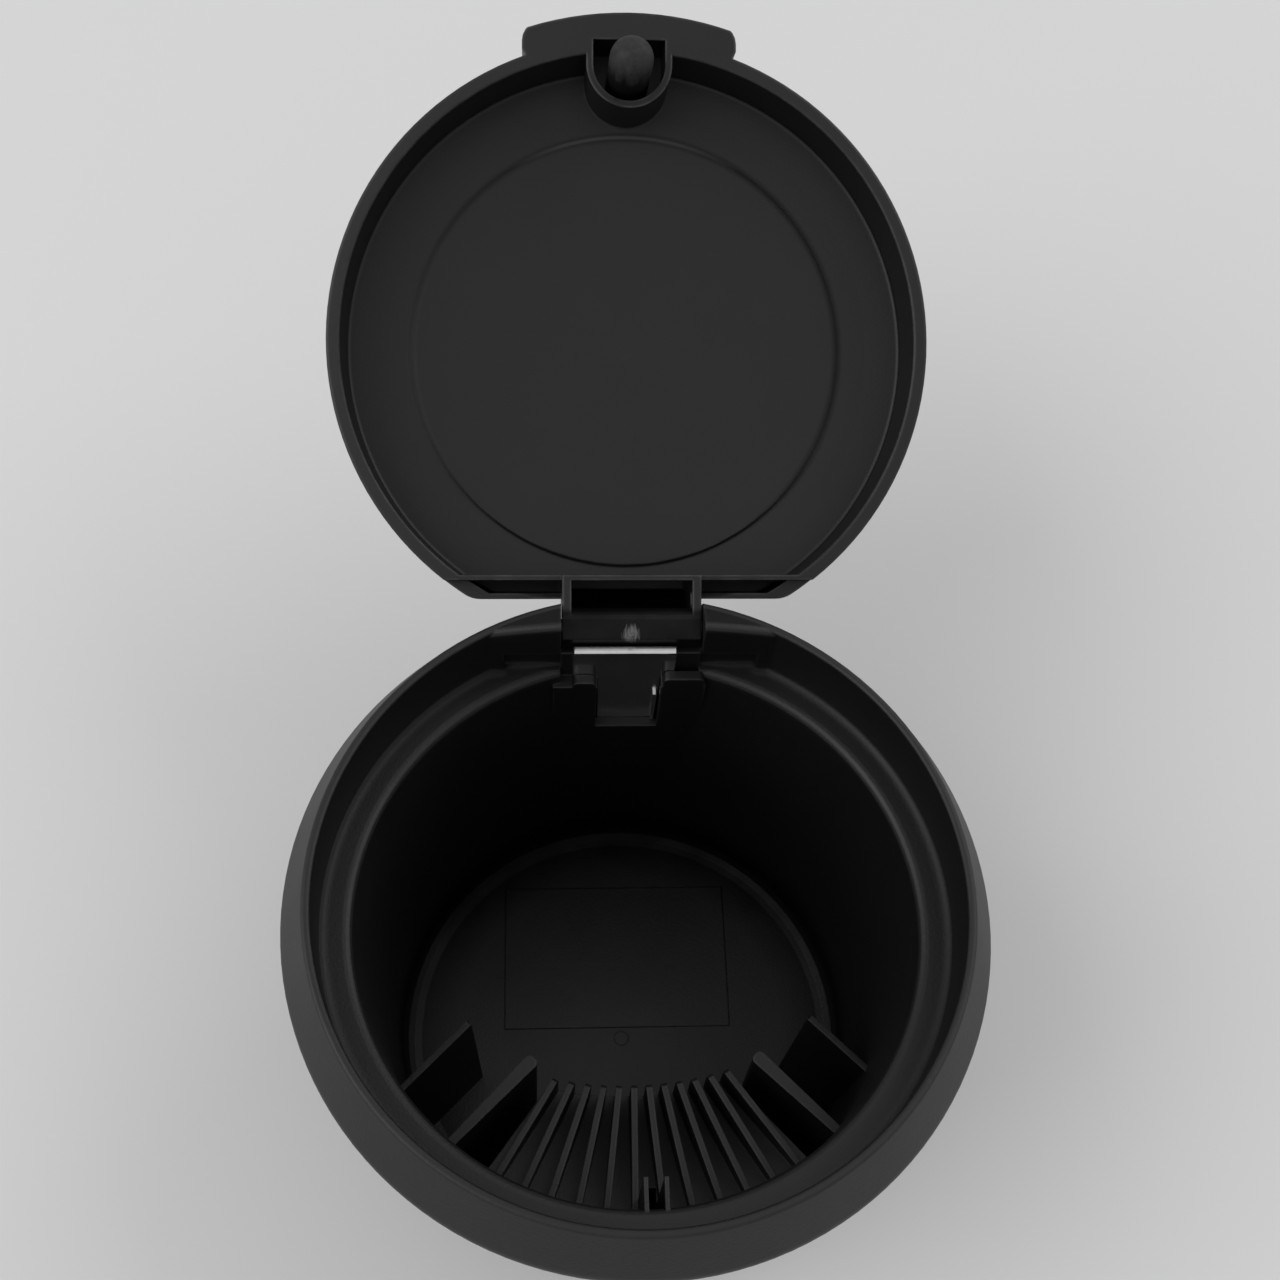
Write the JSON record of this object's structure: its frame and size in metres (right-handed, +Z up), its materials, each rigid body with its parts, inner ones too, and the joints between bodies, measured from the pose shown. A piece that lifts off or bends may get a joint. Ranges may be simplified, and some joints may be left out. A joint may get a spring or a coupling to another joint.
{
  "type": "car cup holder ashtray",
  "caption": "Round ashtray that stands in a car's cup holder: a tapered bowl with a bulged collar, stub-out ribs and a domed lid on a sprung hinge.",
  "frame": {"origin": "centre of the flat base, on the cup's axis", "axes": "+Z up along the cup's axis, -Y towards the thumb tab at the front, +Y towards the hinge, +X to the right"},
  "size_m": [0.083, 0.1473, 0.0962],
  "materials": {
    "body_plastic": "fine moulded grain, satin",
    "lid_plastic": "smooth moulded, satin",
    "steel": "bright rolled sheet",
    "peg_rubber": "matt"
  },
  "bodies": {
    "cup": {"body": "body_plastic", "leaf_spring": "steel", "hinge_pin": "steel"},
    "lid": {"lid": "lid_plastic", "catch_peg": "peg_rubber"}
  },
  "joints": [
    {"name": "lid_hinge", "type": "hinge", "parent": "cup", "child": "lid", "pos_m": [0, 0.03588, 0.05552], "axis": [1, 0, 0], "range_deg": [0, 148.5]}
  ]
}
